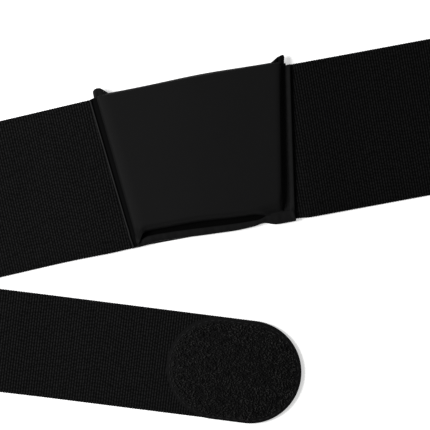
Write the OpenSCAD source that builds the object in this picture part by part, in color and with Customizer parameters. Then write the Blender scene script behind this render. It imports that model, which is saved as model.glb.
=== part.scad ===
// Elastic money belt, laid flat with its strap folded back over its left side.
// Wide ribbed elastic carries a wrapped trapezoid pocket; a narrower strap ends in a hook pad.
// +X runs along the wide band, +Y towards the pocket's top edge, +Z out of its front face.
// The origin is the middle of the pocket's back, on the surface that the belt lies on.

/* [Wide band] */
// Width of the wide elastic
band_w = 75; // [65:1:90]
// Length of band from the pocket's left seam to its left end
band_left = 202; // [160:1:260]
// Length of band from the pocket's right seam to its right end
band_right = 202; // [160:1:260]
// Thickness of the elastic, both widths
elastic_t = 1.8; // [1.4:0.1:2.2]
// Angle that the left half hangs down by, in degrees
band_bend = 2.6; // [0:0.1:5]
// How far the band's middle lies below the pocket's middle at the left seam
drop_left = 1; // [0:0.1:2]
// How far the band's middle lies below the pocket's middle at the right seam
drop_right = 2.1; // [0:0.1:3]
// How far each edge of the band is drawn in inside the pocket
draw_in = 1.2; // [0.8:0.1:2]
// Length of the turned hem at the band's right end
hem_l = 14; // [8:1:20]
// Length of the taper at the band's left end
taper_l = 25; // [15:1:40]
// How much wider than the strap the taper's end stays
taper_over = 12; // [11:1:16]

/* [Pocket] */
// Half width of the pocket's front to the left of the origin
pocket_left = 43; // [36:0.5:46]
// Half width of the pocket's front to the right of the origin
pocket_right = 39; // [33:0.5:42]
// How far the pocket's top edge stands above half the band's width
top_over = 1.5; // [1:0.1:4]
// How far the pocket's bottom edge stands below half the band's width
bottom_over = 1.5; // [1:0.1:3]
// Lean of the pocket's left side, in degrees
left_lean = 5.3; // [2:0.1:8]
// Lean of the pocket's right side, in degrees
right_lean = 9.6; // [5:0.1:12]
// Lean of the welt outside the right side, in degrees
welt_lean = 8.6; // [5:0.1:11]
// Thickness of the laminate behind the band
back_t = 1; // [0.6:0.1:1.4]
// Thickness of the laminate lining and the seam flanges
lining_t = 0.8; // [0.6:0.1:1.2]
// Thickness of the padded front and its side walls
front_t = 1.8; // [1.4:0.1:2.6]
// Clear height inside the pocket
room_h = 4.6; // [4.3:0.1:7]
// Width of the flange at the left side
left_flange_w = 3.8; // [3:0.1:5]
// Width across the folded edge outside the left flange
edge_fold_w = 0.8; // [0.6:0.1:1.2]
// Width of the flange at the right side, to the outside of its welt
right_flange_w = 5.3; // [4.6:0.1:7]
// Width across the right welt
welt_w = 2.8; // [2.2:0.1:3.4]
// Width of the lip below the mouth
lip_w = 3.5; // [2.5:0.1:4.5]
// Length of the front panel's hem that lifts
hem_lift_l = 11; // [8:0.5:16]
// Distance from the mouth's hem to the pocket's bottom edge
hem_back = 6; // [5:0.5:9]
// Height of the ear at the top right corner
right_ear_h = 3; // [1:0.5:4]
// Height of the ear at the top left corner
left_ear_h = 2; // [1:0.5:4]

/* [Strap] */
// Width of the narrow strap
strap_w = 50; // [40:1:52]
// Length of strap sewn over the band's left end
root_l = 32; // [24:1:40]
// Length of strap from the band's left end to the fold
free_l = 52; // [36:1:80]
// Length of strap from the fold to its tip
tail_l = 344.4; // [300:1:400]
// Angle that the folded tail points down by, in degrees
tail_angle = 17.7; // [14:0.1:22]
// Radius of the fold, to the middle of the elastic
fold_r = 2.5; // [2.5:0.1:4]

/* [Hook and loop] */
// Length of the hook pad
hook_l = 66; // [55:1:80]
// Length of strap that curls up when the tip is peeled
peel_l = 20; // [12:1:30]
// Length of the loop pad
loop_l = 90; // [60:1:110]
// Width of the loop pad
loop_w = 60; // [50:1:62]
// Distance of the loop pad from the turned hem
loop_gap = 10; // [4:1:30]
// Thickness of the woven tape under hooks and loops
tape_t = 0.5; // [0.4:0.1:0.8]
// Height of the hooks above their tape
hook_h = 1; // [0.6:0.1:1.4]
// Height of the loop pile above its tape
pile_h = 0.8; // [0.5:0.1:1.4]
// Bare rim around hooks and loops
rim_w = 1.5; // [1.2:0.1:2.5]

/* [Stitching] */
// Length of one stitch
stitch_l = 2.4; // [1.6:0.1:3.2]
// Distance from one stitch to the next
stitch_pitch = 3.4; // [3.3:0.1:5]
// Width of the thread
thread_w = 0.5; // [0.3:0.1:0.7]
// Height of the thread above the fabric
thread_h = 0.3; // [0.2:0.05:0.4]
// Distance of a seam from the edge that it holds
seam_in = 3; // [2:0.5:5]

/* [Hidden] */

gap = 0.2;                       // clearance between soft pieces that don't touch
seam_x = 48;                     // the two seams beside the pocket, from its middle
draw_l = 5;                      // length over which an edge of the band is drawn in
ramp_l = 8;                      // length over which the band drops off the pocket's back
wrap_t = 0.8;                    // laminate around the band's lower edge
ear_l = 8;                       // length of the right ear's slope
binding_t = 0.5;                 // tape on the tapered edges
binding_w = 5;
taper_run = 34;                  // tail's slopes over the band's end and off its edge
$fn = 64;

pocket_top = band_w / 2 + top_over;
pocket_bottom = band_w / 2 + bottom_over;
taper_w = strap_w + taper_over;
band_z = back_t;                 // underside of the band inside the pocket
band_top = band_z + elastic_t;
floor_z = band_top + lining_t;   // floor of the pocket
roof_z = floor_z + room_h;
front_z = roof_z + front_t;
hem_y = hem_back - pocket_bottom;
hinge_y = hem_y + hem_lift_l;
lip_y = lip_w - pocket_bottom;

fold_z = elastic_t / 2 + fold_r;             // height of the fold's axis
over_z = fold_z + fold_r - elastic_t / 2;    // underside of the tail above the strap
fold_out = band_left + free_l;               // from the left seam to the fold
fold_turn = (180 + band_bend - tail_angle) / 2;
fold_skew = (band_bend + tail_angle) / 2;    // how far the fold is off square
tip_r = strap_w / 2;
tip_x = tail_l - tip_r;                      // middle of the tip's round
hook_x = tail_l - hook_l;
peel_x = hook_x - peel_l;

// Outlines of the pocket, worked out from its two leaning sides
function left_x(y) = -pocket_left - y * tan(left_lean);
function right_x(y) = pocket_right + y * tan(right_lean);
function out_left_x(y) = left_x(y) - left_flange_w - edge_fold_w / cos(left_lean);
function out_right_x(y) = pocket_right + right_flange_w + y * tan(welt_lean);
function front_outline(y0, y1, inset) = [
    [left_x(y0) + inset, y0], [right_x(y0) - inset, y0],
    [right_x(y1) - inset, y1], [left_x(y1) + inset, y1]
];

// The band's middle line, bent at the pocket's two seams
function band_y(x) =
    x < -seam_x ? -drop_left + (x + seam_x) * tan(band_bend) :
    x > seam_x ? -drop_right :
    -(drop_left + drop_right) / 2 - (drop_right - drop_left) * x / (2 * seam_x);
inner_top = band_y(0) + band_w / 2 - draw_in;
inner_bottom = band_y(0) - band_w / 2 + draw_in;

// A point of the band's left half, x back from the left seam and y across
function left_point(x, y) = [
    -seam_x - x * cos(band_bend) - y * sin(band_bend),
    -drop_left - x * sin(band_bend) + y * cos(band_bend)
];

module left_frame() {
    translate([-seam_x, -drop_left, 0]) rotate([0, 0, band_bend]) children();
}

module tail_frame() {
    left_frame() translate([-fold_out, 0, 0])
        rotate([0, 0, -tail_angle - band_bend]) children();
}

module slab(points, z, t) {
    translate([0, 0, z]) linear_extrude(t) polygon(points);
}

// Extrudes a side view, drawn as [x, z] points, across the width w
module side_view(points, w) {
    rotate([90, 0, 0]) linear_extrude(w, center = true) polygon(points);
}

// A round-topped bar between two places in plan, standing on the height z
module bead(a, b, z, w, h) {
    turn = atan2(b.y - a.y, b.x - a.x);
    run = norm(b - a);
    stem = h - w / 2;
    translate([a.x, a.y, z]) rotate([0, 0, turn]) {
        translate([0, -w / 2, 0]) cube([run, w, stem]);
        intersection() {
            translate([0, 0, stem]) rotate([0, 90, 0]) cylinder(h = run, d = w);
            translate([0, -w, stem]) cube([run, 2 * w, h]);
        }
    }
}

// A row of stitches between two places in plan, standing on the height z
module stitch_row(a, b, z) {
    turn = atan2(b.y - a.y, b.x - a.x);
    run = norm(b - a);
    count = floor((run - stitch_l) / stitch_pitch);
    start = (run - count * stitch_pitch - stitch_l) / 2;
    translate([a.x, a.y, z]) rotate([0, 0, turn]) for (i = [0 : count]) {
        translate([start + i * stitch_pitch, -thread_w / 2, 0])
            cube([stitch_l, thread_w, thread_h]);
    }
}

// Stitching around a rectangle centred on the origin
module stitch_box(l, w, z) {
    inset = thread_w;
    for (side = [-1, 1]) {
        stitch_row([-l / 2, side * w / 2], [l / 2, side * w / 2], z);
        stitch_row([side * l / 2, inset - w / 2], [side * l / 2, w / 2 - inset], z);
    }
}

// ---- wide band ----
module wide_band() {
    color([0.075, 0.075, 0.08]) intersection() {
        slab(band_plan(), 0, front_z);
        side_view(band_side(), 3 * band_w);
    }
}

function band_plan() =
    let (
        half = band_w / 2,
        end_x = seam_x + band_right,
        tl = out_left_x(pocket_top), tr = out_right_x(pocket_top),
        bl = out_left_x(-pocket_bottom), br = out_right_x(-pocket_bottom)
    ) [
        left_point(band_left, -taper_w / 2),
        left_point(band_left - taper_l, -half),
        [bl, band_y(bl) - half], [bl + draw_l, inner_bottom],
        [br - draw_l, inner_bottom], [br, -drop_right - half],
        [end_x, -drop_right - half], [end_x, -drop_right + half],
        [tr, band_y(tr) + half], [tr - draw_l, inner_top],
        [tl + draw_l, inner_top], [tl, band_y(tl) + half],
        left_point(band_left - taper_l, half),
        left_point(band_left, taper_w / 2)
    ];

function band_side() =
    let (
        end_l = -seam_x - band_left - band_w, end_r = seam_x + band_right,
        in_l = out_left_x(pocket_top) - gap, in_r = out_right_x(pocket_top) + gap
    ) [
        [end_l, 0], [in_l - ramp_l, 0], [in_l, band_z], [in_r, band_z],
        [in_r + ramp_l, 0], [end_r, 0], [end_r, 2 * elastic_t],
        [end_r - hem_l, 2 * elastic_t], [end_r - hem_l, elastic_t],
        [in_r + ramp_l, elastic_t], [in_r, band_top], [in_l, band_top],
        [in_l - ramp_l, elastic_t], [end_l, elastic_t]
    ];

module end_stitches() {
    x = seam_x + band_right - hem_l;
    y = band_w / 2 - seam_in;
    color([0.06, 0.06, 0.065]) for (along = [seam_in, hem_l - seam_in]) {
        stitch_row([x + along, -drop_right - y], [x + along, y - drop_right], 2 * elastic_t);
    }
}

// ---- pocket ----
module pocket_back() {
    color([0.09, 0.09, 0.095]) slab([
        [out_left_x(-pocket_bottom), -pocket_bottom],
        [out_right_x(-pocket_bottom), -pocket_bottom],
        [out_right_x(pocket_top), pocket_top],
        [out_left_x(pocket_top), pocket_top]
    ], 0, back_t);
}

module pocket_lining() {
    color([0.08, 0.08, 0.085])
        slab(front_outline(lip_y + gap, inner_top, 0), band_top, lining_t);
}

module pocket_front() {
    color([0.1, 0.1, 0.105]) difference() {
        slab(front_outline(hem_y, pocket_top, 0), floor_z, front_z - floor_z);
        slab(front_outline(hem_y - 1, pocket_top - front_t, front_t), floor_z - 1, room_h + 1);
        slab(front_outline(hem_y - 2, hinge_y, front_t + gap), floor_z, 2 * front_z);
    }
}

module mouth_hem() {
    color([0.1, 0.1, 0.105])
        slab(front_outline(hem_y, hinge_y, front_t + 2 * gap), roof_z, front_t);
}

// The laminate turned over the band's top edge, with an ear at each end
module top_roll() {
    low = inner_top + gap;
    l = out_left_x(pocket_top) + draw_l;
    r = out_right_x(pocket_top) - draw_l;
    ear_r = r + draw_l - edge_fold_w;
    ear_low = pocket_top - front_t;
    color([0.1, 0.1, 0.105]) {
        slab([[l, low], [r, low], [r, pocket_top], [l, pocket_top]], band_z, floor_z - band_z);
        slab([
            [r - ear_l / 2, ear_low], [ear_r, ear_low], [ear_r - 1, pocket_top + right_ear_h],
            [ear_r - 2, pocket_top + right_ear_h], [r - ear_l / 2, pocket_top]
        ], band_top, lining_t);
        slab([
            [l + 2, ear_low], [l + 2, pocket_top], [l - 1, pocket_top + left_ear_h],
            [l - 3, pocket_top + left_ear_h], [l - 4, ear_low]
        ], band_top, lining_t);
    }
}

// The laminate turned up around the band's lower edge, puckered at its right corner
module mouth_lip() {
    l = out_left_x(-pocket_bottom) + edge_fold_w + gap;
    r = out_right_x(-pocket_bottom);
    low = -pocket_bottom;
    color([0.095, 0.095, 0.1]) {
        slab([
            [l, lip_y], [l + 1, low], [r - 15, low], [r - 14, low + 0.5],
            [r - 9, low - 0.8], [r - 2, low - 1.6], [r, low - 1], [r, lip_y]
        ], band_top, lining_t);
        slab([
            [l + draw_l, low], [r - draw_l, low],
            [r - draw_l, low + wrap_t], [l + draw_l, low + wrap_t]
        ], band_z, elastic_t);
    }
}

module left_flange() {
    y0 = lip_y + gap;
    y1 = inner_top;
    color([0.05, 0.05, 0.055]) slab([
        [left_x(y0) - left_flange_w, y0], [left_x(y0), y0],
        [left_x(y1), y1], [left_x(y1) - left_flange_w, y1]
    ], band_top, lining_t);
}

module left_edge_fold() {
    x = edge_fold_w / cos(left_lean) / 2;
    y0 = -pocket_bottom + 1;
    color([0.15, 0.15, 0.155])
        bead([out_left_x(y0) + x, y0], [out_left_x(inner_top) + x, inner_top],
            band_top, edge_fold_w, lining_t + 0.2);
}

module right_flange() {
    y0 = lip_y + gap;
    y1 = inner_top;
    color([0.05, 0.05, 0.055]) slab([
        [right_x(y0), y0], [out_right_x(y0), y0],
        [out_right_x(y1), y1], [right_x(y1), y1]
    ], band_top, lining_t);
}

module right_welt() {
    x = -welt_w / 2;
    y0 = -pocket_bottom - 1;
    color([0.12, 0.12, 0.125])
        bead([out_right_x(y0) + x, y0], [out_right_x(inner_top) + x, inner_top],
            floor_z, welt_w, welt_w);
}

module left_stitches() {
    x = left_flange_w / 2;
    color([0.06, 0.06, 0.065])
        stitch_row([left_x(lip_y) - x, lip_y + 1], [left_x(inner_top) - x, inner_top - 1],
            floor_z);
}

module right_stitches() {
    x = (right_flange_w - welt_w) / 2;
    color([0.06, 0.06, 0.065])
        stitch_row([right_x(lip_y) + x, lip_y + 1], [right_x(inner_top) + x, inner_top - 1],
            floor_z);
}

// ---- landing at the band's right end ----
module loop_frame() {
    translate([seam_x + band_right - hem_l - loop_gap - loop_l / 2, -drop_right, 0]) children();
}

module loop_tape() {
    color([0.07, 0.07, 0.075]) loop_frame() translate([-loop_l / 2, -loop_w / 2, elastic_t])
        cube([loop_l, loop_w, tape_t]);
}

module loop_pile() {
    l = loop_l - 2 * rim_w;
    w = loop_w - 2 * rim_w;
    color([0.1, 0.1, 0.105]) loop_frame() translate([-l / 2, -w / 2, elastic_t + tape_t])
        cube([l, w, pile_h]);
}

module loop_stitches() {
    color([0.06, 0.06, 0.065]) loop_frame()
        stitch_box(loop_l - rim_w, loop_w - rim_w, elastic_t + tape_t);
}

// ---- join of band and strap ----
// Tapes folded over the two tapered edges of the band's left end
module taper_bindings() {
    rise = (band_w - taper_w) / 2;
    lean = atan(rise / taper_l);
    run = norm([taper_l, rise]);
    color([0.08, 0.08, 0.085]) for (side = [-1, 1]) {
        left_frame() mirror([0, side < 0 ? 1 : 0, 0])
            translate([-band_left, taper_w / 2, 0]) rotate([0, 0, lean]) {
                translate([0, -binding_w, elastic_t])
                    cube([run, binding_w + binding_t, binding_t]);
                cube([run, binding_t, elastic_t + binding_t]);
            }
    }
}

module strap_root() {
    step = 12;
    skew = tip_r * tan(fold_skew);
    x = -band_left;
    color([0.075, 0.075, 0.08]) left_frame() intersection() {
        slab([
            [-fold_out - skew, -tip_r], [x + root_l, -tip_r],
            [x + root_l, tip_r], [-fold_out + skew, tip_r]
        ], 0, front_z);
        side_view([
            [-fold_out - 2 * skew, 0], [x - step, 0], [x - gap, elastic_t],
            [x + root_l, elastic_t], [x + root_l, 2 * elastic_t],
            [x - gap, 2 * elastic_t], [x - step, elastic_t], [-fold_out - 2 * skew, elastic_t]
        ], strap_w);
    }
}

module join_stitches() {
    l = root_l - 2 * seam_in;
    w = strap_w - 2 * seam_in;
    z = 2 * elastic_t;
    color([0.06, 0.06, 0.065]) left_frame() translate([root_l / 2 - band_left, 0, 0]) {
        stitch_box(l, w, z);
        stitch_row([-l / 2 + seam_in, 0], [l / 2 - seam_in, 0], z);
    }
}

// ---- folded strap ----
module tail_fold() {
    r = fold_r + elastic_t / 2;
    l = strap_w / cos(fold_skew);
    color([0.075, 0.075, 0.08]) left_frame() translate([-fold_out, 0, fold_z])
        rotate([0, 0, fold_turn - band_bend]) intersection() {
            rotate([0, 90, 0]) difference() {
                cylinder(h = l, r = r, center = true);
                cylinder(h = l + 1, r = r - elastic_t, center = true);
            }
            translate([-l, 0, -r]) cube([2 * l, 2 * r, 2 * r]);
        }
}

module tail_strap() {
    skew = tip_r * tan(fold_skew);
    start = gap - 2 * skew;
    rest_z = elastic_t + 2 * gap;
    high_x = (free_l + root_l) / cos(fold_skew) + tip_r / 2;
    drop_x = high_x + taper_run;
    low_x = drop_x + taper_run + tip_r;
    end_x = low_x + taper_run;
    color([0.075, 0.075, 0.08]) tail_frame() intersection() {
        slab([
            [gap - skew, tip_r], [gap + skew, -tip_r], [peel_x, -tip_r], [peel_x, tip_r]
        ], 0, front_z);
        side_view([
            [start, over_z], [high_x, over_z], [drop_x, rest_z], [low_x, rest_z],
            [end_x, 0], [peel_x, 0], [peel_x, elastic_t], [end_x, elastic_t],
            [low_x, rest_z + elastic_t], [drop_x, rest_z + elastic_t],
            [high_x, over_z + elastic_t], [start, over_z + elastic_t]
        ], strap_w);
    }
}

module tail_tip() {
    color([0.075, 0.075, 0.08]) tail_frame() {
        translate([peel_x, -tip_r, 0]) cube([tip_x - peel_x, strap_w, elastic_t]);
        translate([tip_x, 0, 0]) round_end(tip_r, elastic_t);
    }
}

// Half a disc on the +X side
module round_end(r, t) {
    intersection() {
        cylinder(h = t, r = r);
        translate([0, -r, 0]) cube([r, 2 * r, t]);
    }
}

// A pad with two round ends, set in from the strap's edge and tip
module pad(inset, z, t) {
    r = tip_r - inset;
    back = hook_x + tip_r;
    translate([0, 0, z]) {
        translate([back, -r, 0]) cube([tip_x - back, 2 * r, t]);
        translate([tip_x, 0, 0]) round_end(r, t);
        translate([back, 0, 0]) mirror([1, 0, 0]) round_end(r, t);
    }
}

module hook_tape() {
    color([0.11, 0.11, 0.115]) tail_frame() pad(gap, elastic_t, tape_t);
}

module hooks() {
    color([0.07, 0.07, 0.075]) tail_frame() pad(rim_w + gap, elastic_t + tape_t, hook_h);
}

module hook_stitches() {
    r = tip_r - gap - rim_w / 2;
    z = elastic_t + tape_t;
    back = hook_x + tip_r;
    count = floor(180 / (stitch_pitch / r * 180 / PI));
    step = 180 / count;
    color([0.06, 0.06, 0.065]) tail_frame() {
        for (side = [-1, 1]) stitch_row([back, side * r], [tip_x, side * r], z);
        for (end = [0, 1], i = [0.5 : count - 0.5]) {
            translate([end == 0 ? tip_x : back, 0, z]) rotate([0, 0, 180 * end - 90 + i * step])
                translate([r - thread_w / 2, -stitch_l / 2, 0])
                    cube([thread_w, stitch_l, thread_h]);
        }
    }
}

wide_band();
pocket_back();
pocket_lining();
pocket_front();
top_roll();
mouth_lip();
left_flange();
left_edge_fold();
right_flange();
right_welt();
left_stitches();
right_stitches();
end_stitches();
loop_tape();
loop_pile();
loop_stitches();
taper_bindings();
strap_root();
join_stitches();
tail_fold();
mouth_hem();
tail_strap();
tail_tip();
hook_tape();
hooks();
hook_stitches();
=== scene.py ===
import math

import bpy
import numpy as np
from bpy.props import FloatProperty, FloatVectorProperty, PointerProperty
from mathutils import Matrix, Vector


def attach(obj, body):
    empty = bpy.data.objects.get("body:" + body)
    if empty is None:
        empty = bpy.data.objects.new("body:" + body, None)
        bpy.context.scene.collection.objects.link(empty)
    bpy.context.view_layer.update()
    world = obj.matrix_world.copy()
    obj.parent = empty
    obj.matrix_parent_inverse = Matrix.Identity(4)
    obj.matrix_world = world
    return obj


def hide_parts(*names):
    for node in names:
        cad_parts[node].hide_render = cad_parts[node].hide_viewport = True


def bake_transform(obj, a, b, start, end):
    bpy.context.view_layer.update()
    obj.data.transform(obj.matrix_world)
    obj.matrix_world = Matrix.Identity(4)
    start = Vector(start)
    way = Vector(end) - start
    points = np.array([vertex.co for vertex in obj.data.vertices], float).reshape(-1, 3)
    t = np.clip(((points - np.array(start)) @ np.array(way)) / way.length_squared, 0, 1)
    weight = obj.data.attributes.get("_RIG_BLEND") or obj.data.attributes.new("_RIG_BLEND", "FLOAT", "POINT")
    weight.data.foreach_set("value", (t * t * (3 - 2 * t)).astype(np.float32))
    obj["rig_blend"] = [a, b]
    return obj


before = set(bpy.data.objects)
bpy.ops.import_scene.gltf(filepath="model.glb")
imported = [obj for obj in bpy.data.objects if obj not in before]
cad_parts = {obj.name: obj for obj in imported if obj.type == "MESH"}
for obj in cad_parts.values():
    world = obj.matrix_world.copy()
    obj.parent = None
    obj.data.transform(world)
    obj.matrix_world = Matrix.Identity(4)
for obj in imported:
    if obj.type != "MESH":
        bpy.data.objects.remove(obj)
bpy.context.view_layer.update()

bl_info = {
    "name": "Elastic money belt",
    "version": (1, 0, 0),
    "blender": (4, 5, 0),
    "location": "3D View > Sidebar > Money belt",
    "description": "Builds a ribbed elastic belt with a wrapped pocket and a hook-and-loop strap",
    "category": "Add Mesh",
}

MM = 0.001
ELASTIC_T = 1.8
HALF = ELASTIC_T / 2
BAND_HALF = 37.5
BAND_END = 250.0
HEM_L = 14.0
TAPER = 6.5
TAPER_L = 25.0
SEAM_X = 48.0
DROP_LEFT = 1.0
DROP_RIGHT = 2.1
BEND = math.radians(2.6)
TAIL_TURN = math.radians(17.7)
SKEW = (BEND + TAIL_TURN) / 2
STRAP_HALF = 25.0
JOIN_AT = 202.0
ROOT_L = 32.0
FOLD_AT = 254.0
FOLD_R = 2.5
FOLD_Z = 3.4
TAIL_L = 344.4
TIP_X = TAIL_L - STRAP_HALF
HOOK_X = 278.4
PEEL_X = 258.4
PAD_X = (HOOK_X + TAIL_L) / 2 + 0.2
PAD_RUN = 16.0
PAD_R = 25.25
HOOKS_R = 22.8
RING_R = 23.7
RING_STEPS = 22
LOOP_X = 181.0
LOOP_L = 90.0
LOOP_W = 60.0
TAPE_T = 0.55
TAPE_Z = 2.02
LAMINATE_T = 0.6
POCKET_Y = 39.0
LIP_Y = -35.5
FRONT_Z = 10.0
HINGE_Y = -22.0
HEM_Y = -33.0
STITCH_L = 2.4
STITCH_PITCH = 3.4


# ---- lines of the belt, in millimetres: x along the band, y up it, z out of its front ----
def smooth(t):
    """A soft step from 0 to 1."""
    t = np.clip(t, 0, 1)
    return t * t * (3 - 2 * t)


def shoulder(t):
    """The rise of a rounded shoulder: 0 at its foot and 1 from its crest on."""
    return np.sqrt(1 - (1 - np.clip(t, 0, 1)) ** 2)


def hump(t):
    """A soft hump, 1 at its middle and nearly 0 beyond twice its width."""
    return np.exp(-t * t)


def left_x(y):
    return -43 - y * math.tan(math.radians(5.3))


def right_x(y):
    return 39 + y * math.tan(math.radians(9.6))


def out_left_x(y):
    return left_x(y) - 4.6


def out_right_x(y):
    return 44.3 + y * math.tan(math.radians(8.6))


def top_line(x):
    """The pocket's upper outline, bowed a little."""
    return 38.2 + 0.9 * hump((x - 6) / 24)


def band_middle(x):
    """The place in plan of the band's middle line, x along the band."""
    left = np.minimum(x + SEAM_X, 0)
    y = np.interp(x, (-SEAM_X, SEAM_X), (-DROP_LEFT, -DROP_RIGHT))
    return np.where(x < -SEAM_X, -SEAM_X + left * math.cos(BEND), x), y + left * math.sin(BEND)


def left_point(q, y):
    """A place of the band's left half, q back from the left seam and y across."""
    return (
        -SEAM_X - q * math.cos(BEND) - y * math.sin(BEND),
        -DROP_LEFT - q * math.sin(BEND) + y * math.cos(BEND),
    )


FOLD_X, FOLD_Y = left_point(FOLD_AT, 0)


def tail_point(x, y):
    """A place of the folded strap, x along it from the fold and y across."""
    along, across = math.cos(TAIL_TURN), math.sin(TAIL_TURN)
    return FOLD_X + x * along + y * across, FOLD_Y - x * across + y * along


def band_lift(x):
    """How far the band's underside stands off the surface, over the pocket's back."""
    return smooth(np.where(x < 0, (x + 88) / 36, (80 - x) / 29))


def root_lift(q):
    return ELASTIC_T * (1 - smooth((q - JOIN_AT) / 12))


def tail_lift(x):
    """The strap lies over the join, then over the band's edge, then on the surface."""
    return 5 - 2.8 * smooth((x - 97.8) / 34) - 2.2 * smooth((x - 190.8) / 34)


# ---- working on meshes ----
def bare():
    """Leaves nothing selected."""
    active = bpy.context.view_layer.objects.active
    if active and active.mode != "OBJECT":
        bpy.ops.object.mode_set(mode="OBJECT")
    bpy.ops.object.select_all(action="DESELECT")


def take(piece):
    """Selects one piece and makes it active."""
    bare()
    piece.select_set(True)
    bpy.context.view_layer.objects.active = piece


def named(name):
    piece = bpy.context.object
    piece.name = name
    piece.data.name = name
    return piece


def points(piece):
    flat = np.zeros(len(piece.data.vertices) * 3)
    piece.data.vertices.foreach_get("co", flat)
    return flat.reshape(-1, 3)


def put_points(piece, co):
    piece.data.vertices.foreach_set("co", np.ascontiguousarray(co, float).ravel())
    piece.data.update()


def apply(piece, kind, **values):
    """Adds one modifier and applies it."""
    take(piece)
    modifier = piece.modifiers.new(kind.lower(), kind)
    for name, value in values.items():
        setattr(modifier, name, value)
    bpy.ops.object.modifier_apply(modifier=modifier.name)


def face_outwards(piece):
    take(piece)
    bpy.ops.object.mode_set(mode="EDIT")
    bpy.ops.mesh.select_all(action="SELECT")
    bpy.ops.mesh.normals_make_consistent(inside=False)
    bpy.ops.object.mode_set(mode="OBJECT")


def soften(piece, angle=None):
    take(piece)
    if angle is None:
        bpy.ops.object.shade_smooth()
    else:
        bpy.ops.object.shade_smooth_by_angle(angle=math.radians(angle))


def grid(name, columns, rows):
    bare()
    bpy.ops.mesh.primitive_grid_add(x_subdivisions=columns, y_subdivisions=rows, size=2)
    return named(name)


def lay_pattern(piece, along, across):
    """Lays the piece's own UV map out in metres."""
    corners = np.zeros(len(piece.data.loops), np.int32)
    piece.data.loops.foreach_get("vertex_index", corners)
    layer = piece.data.uv_layers[0] if piece.data.uv_layers else piece.data.uv_layers.new()
    spots = np.stack((along[corners], across[corners]), axis=1) * MM
    layer.data.foreach_set("uv", spots.ravel().astype(np.float32))


def shell(name, columns, rows, place, thick, level=1):
    """A sheet laid by place(u, v), with its outer side up, then given its thickness."""
    piece = grid(name, columns, rows)
    co = points(piece)
    u, v = (co[:, 0] + 1) / 2, (co[:, 1] + 1) / 2
    x, y, z = place(u, v)
    put_points(piece, np.stack((x, y, z), axis=1) * MM)
    apply(piece, "SOLIDIFY", thickness=thick * MM, offset=-1, use_even_offset=False)
    if level:
        apply(piece, "SUBSURF", levels=level, render_levels=level)
    face_outwards(piece)
    soften(piece, 50)
    return piece


def ribbed(name, start, end, half_width, route, rows=12):
    """Ribbed elastic along a route: route(s, y, h) places a point s along, y across and h up."""
    size = bpy.context.scene.belt_sizes
    ribs = max(1, round((end - start) * MM / size.rib_pitch))
    depth = size.rib_depth / MM
    piece = grid(name, ribs * 4, rows)
    apply(piece, "SOLIDIFY", thickness=1, offset=0)
    co = points(piece)
    column = np.rint((co[:, 0] + 1) / 2 * ribs * 4)
    row = np.rint((co[:, 1] + 1) / 2 * rows)
    s = start + column / (ribs * 4) * (end - start)
    ridge = np.abs(np.sin(column * math.pi / 4))
    edge = np.minimum(row, rows - row)
    half = half_width(s)
    inner = 0.9 + (edge - 2) / (rows / 2 - 2) * (half - 0.9)
    inset = np.where(edge < 3, np.interp(edge, (0, 1, 2), (0, 0.3, 0.9)), inner)
    inset = np.minimum(inset, half) * np.where(edge < 3, np.clip(half / 6, 0, 1), 1)
    y = (half - inset + np.where(edge == 0, 0.16 * (ridge - 0.5), 0)) * np.sign(row - rows / 2)
    body = np.interp(edge, (0, 1, 2), (0.4, 0.82, 1))
    h = np.sign(co[:, 2]) * (HALF - depth * (1 - ridge)) * body
    put_points(piece, np.stack(route(s, y, h), axis=1) * MM)
    lay_pattern(piece, column / 4 * size.rib_pitch / MM, y)
    face_outwards(piece)
    soften(piece)
    return piece


def tube(name, path, radius, sides=10):
    """A closed round bead along places in millimetres."""
    curve = bpy.data.curves.new(name, "CURVE")
    curve.dimensions = "3D"
    curve.bevel_depth = radius * MM
    curve.bevel_resolution = sides // 2 - 2
    curve.use_fill_caps = True
    spline = curve.splines.new("POLY")
    spline.points.add(len(path) - 1)
    for point, place in zip(spline.points, path):
        point.co = (*(Vector(place) * MM), 1)
    piece = bpy.data.objects.new(name, curve)
    bpy.context.scene.collection.objects.link(piece)
    take(piece)
    bpy.ops.object.convert(target="MESH")
    piece = named(name)
    soften(piece, 60)
    return piece


def drawn_thread(name, path, radius, sides):
    """A short thread, extruded from place to place, in millimetres."""
    bare()
    first, second = Vector(path[0]), Vector(path[1])
    bpy.ops.mesh.primitive_cylinder_add(
        vertices=sides,
        radius=radius * MM,
        depth=(second - first).length * MM,
        location=(first + second) / 2 * MM,
    )
    piece = named(name)
    bpy.ops.object.transform_apply(location=True, rotation=True, scale=True)
    bpy.ops.object.mode_set(mode="EDIT")
    bpy.ops.mesh.select_all(action="DESELECT")
    bpy.ops.object.mode_set(mode="OBJECT")
    top = max(piece.data.polygons, key=lambda face: face.center.z)
    top.select = True
    bpy.ops.object.mode_set(mode="EDIT")
    bpy.ops.mesh.select_mode(type="FACE")
    heading = Vector((0, 0, 1))
    for before, after in zip(path[1:-1], path[2:]):
        step = Vector(after) - Vector(before)
        turn = heading.rotation_difference(step.normalized()).to_euler()
        bpy.ops.mesh.extrude_region_move(TRANSFORM_OT_translate={"value": step * MM})
        bpy.ops.transform.rotate(
            value=-turn.y, orient_axis="Y", center_override=Vector(after) * MM
        )
        heading = step.normalized()
    bpy.ops.object.mode_set(mode="OBJECT")
    return piece


def stitch():
    """One stitch: a plump thread, half sunk in the cloth."""
    bare()
    bpy.ops.mesh.primitive_uv_sphere_add(segments=8, ring_count=6, radius=MM)
    piece = named("stitch")
    bpy.ops.object.mode_set(mode="EDIT")
    bpy.ops.mesh.select_all(action="SELECT")
    bpy.ops.transform.rotate(value=math.pi / 2, orient_axis="Y", center_override=(0, 0, 0))
    bpy.ops.transform.resize(value=(STITCH_L / 2, 0.27, 0.3))
    bpy.ops.object.mode_set(mode="OBJECT")
    return piece


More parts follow.
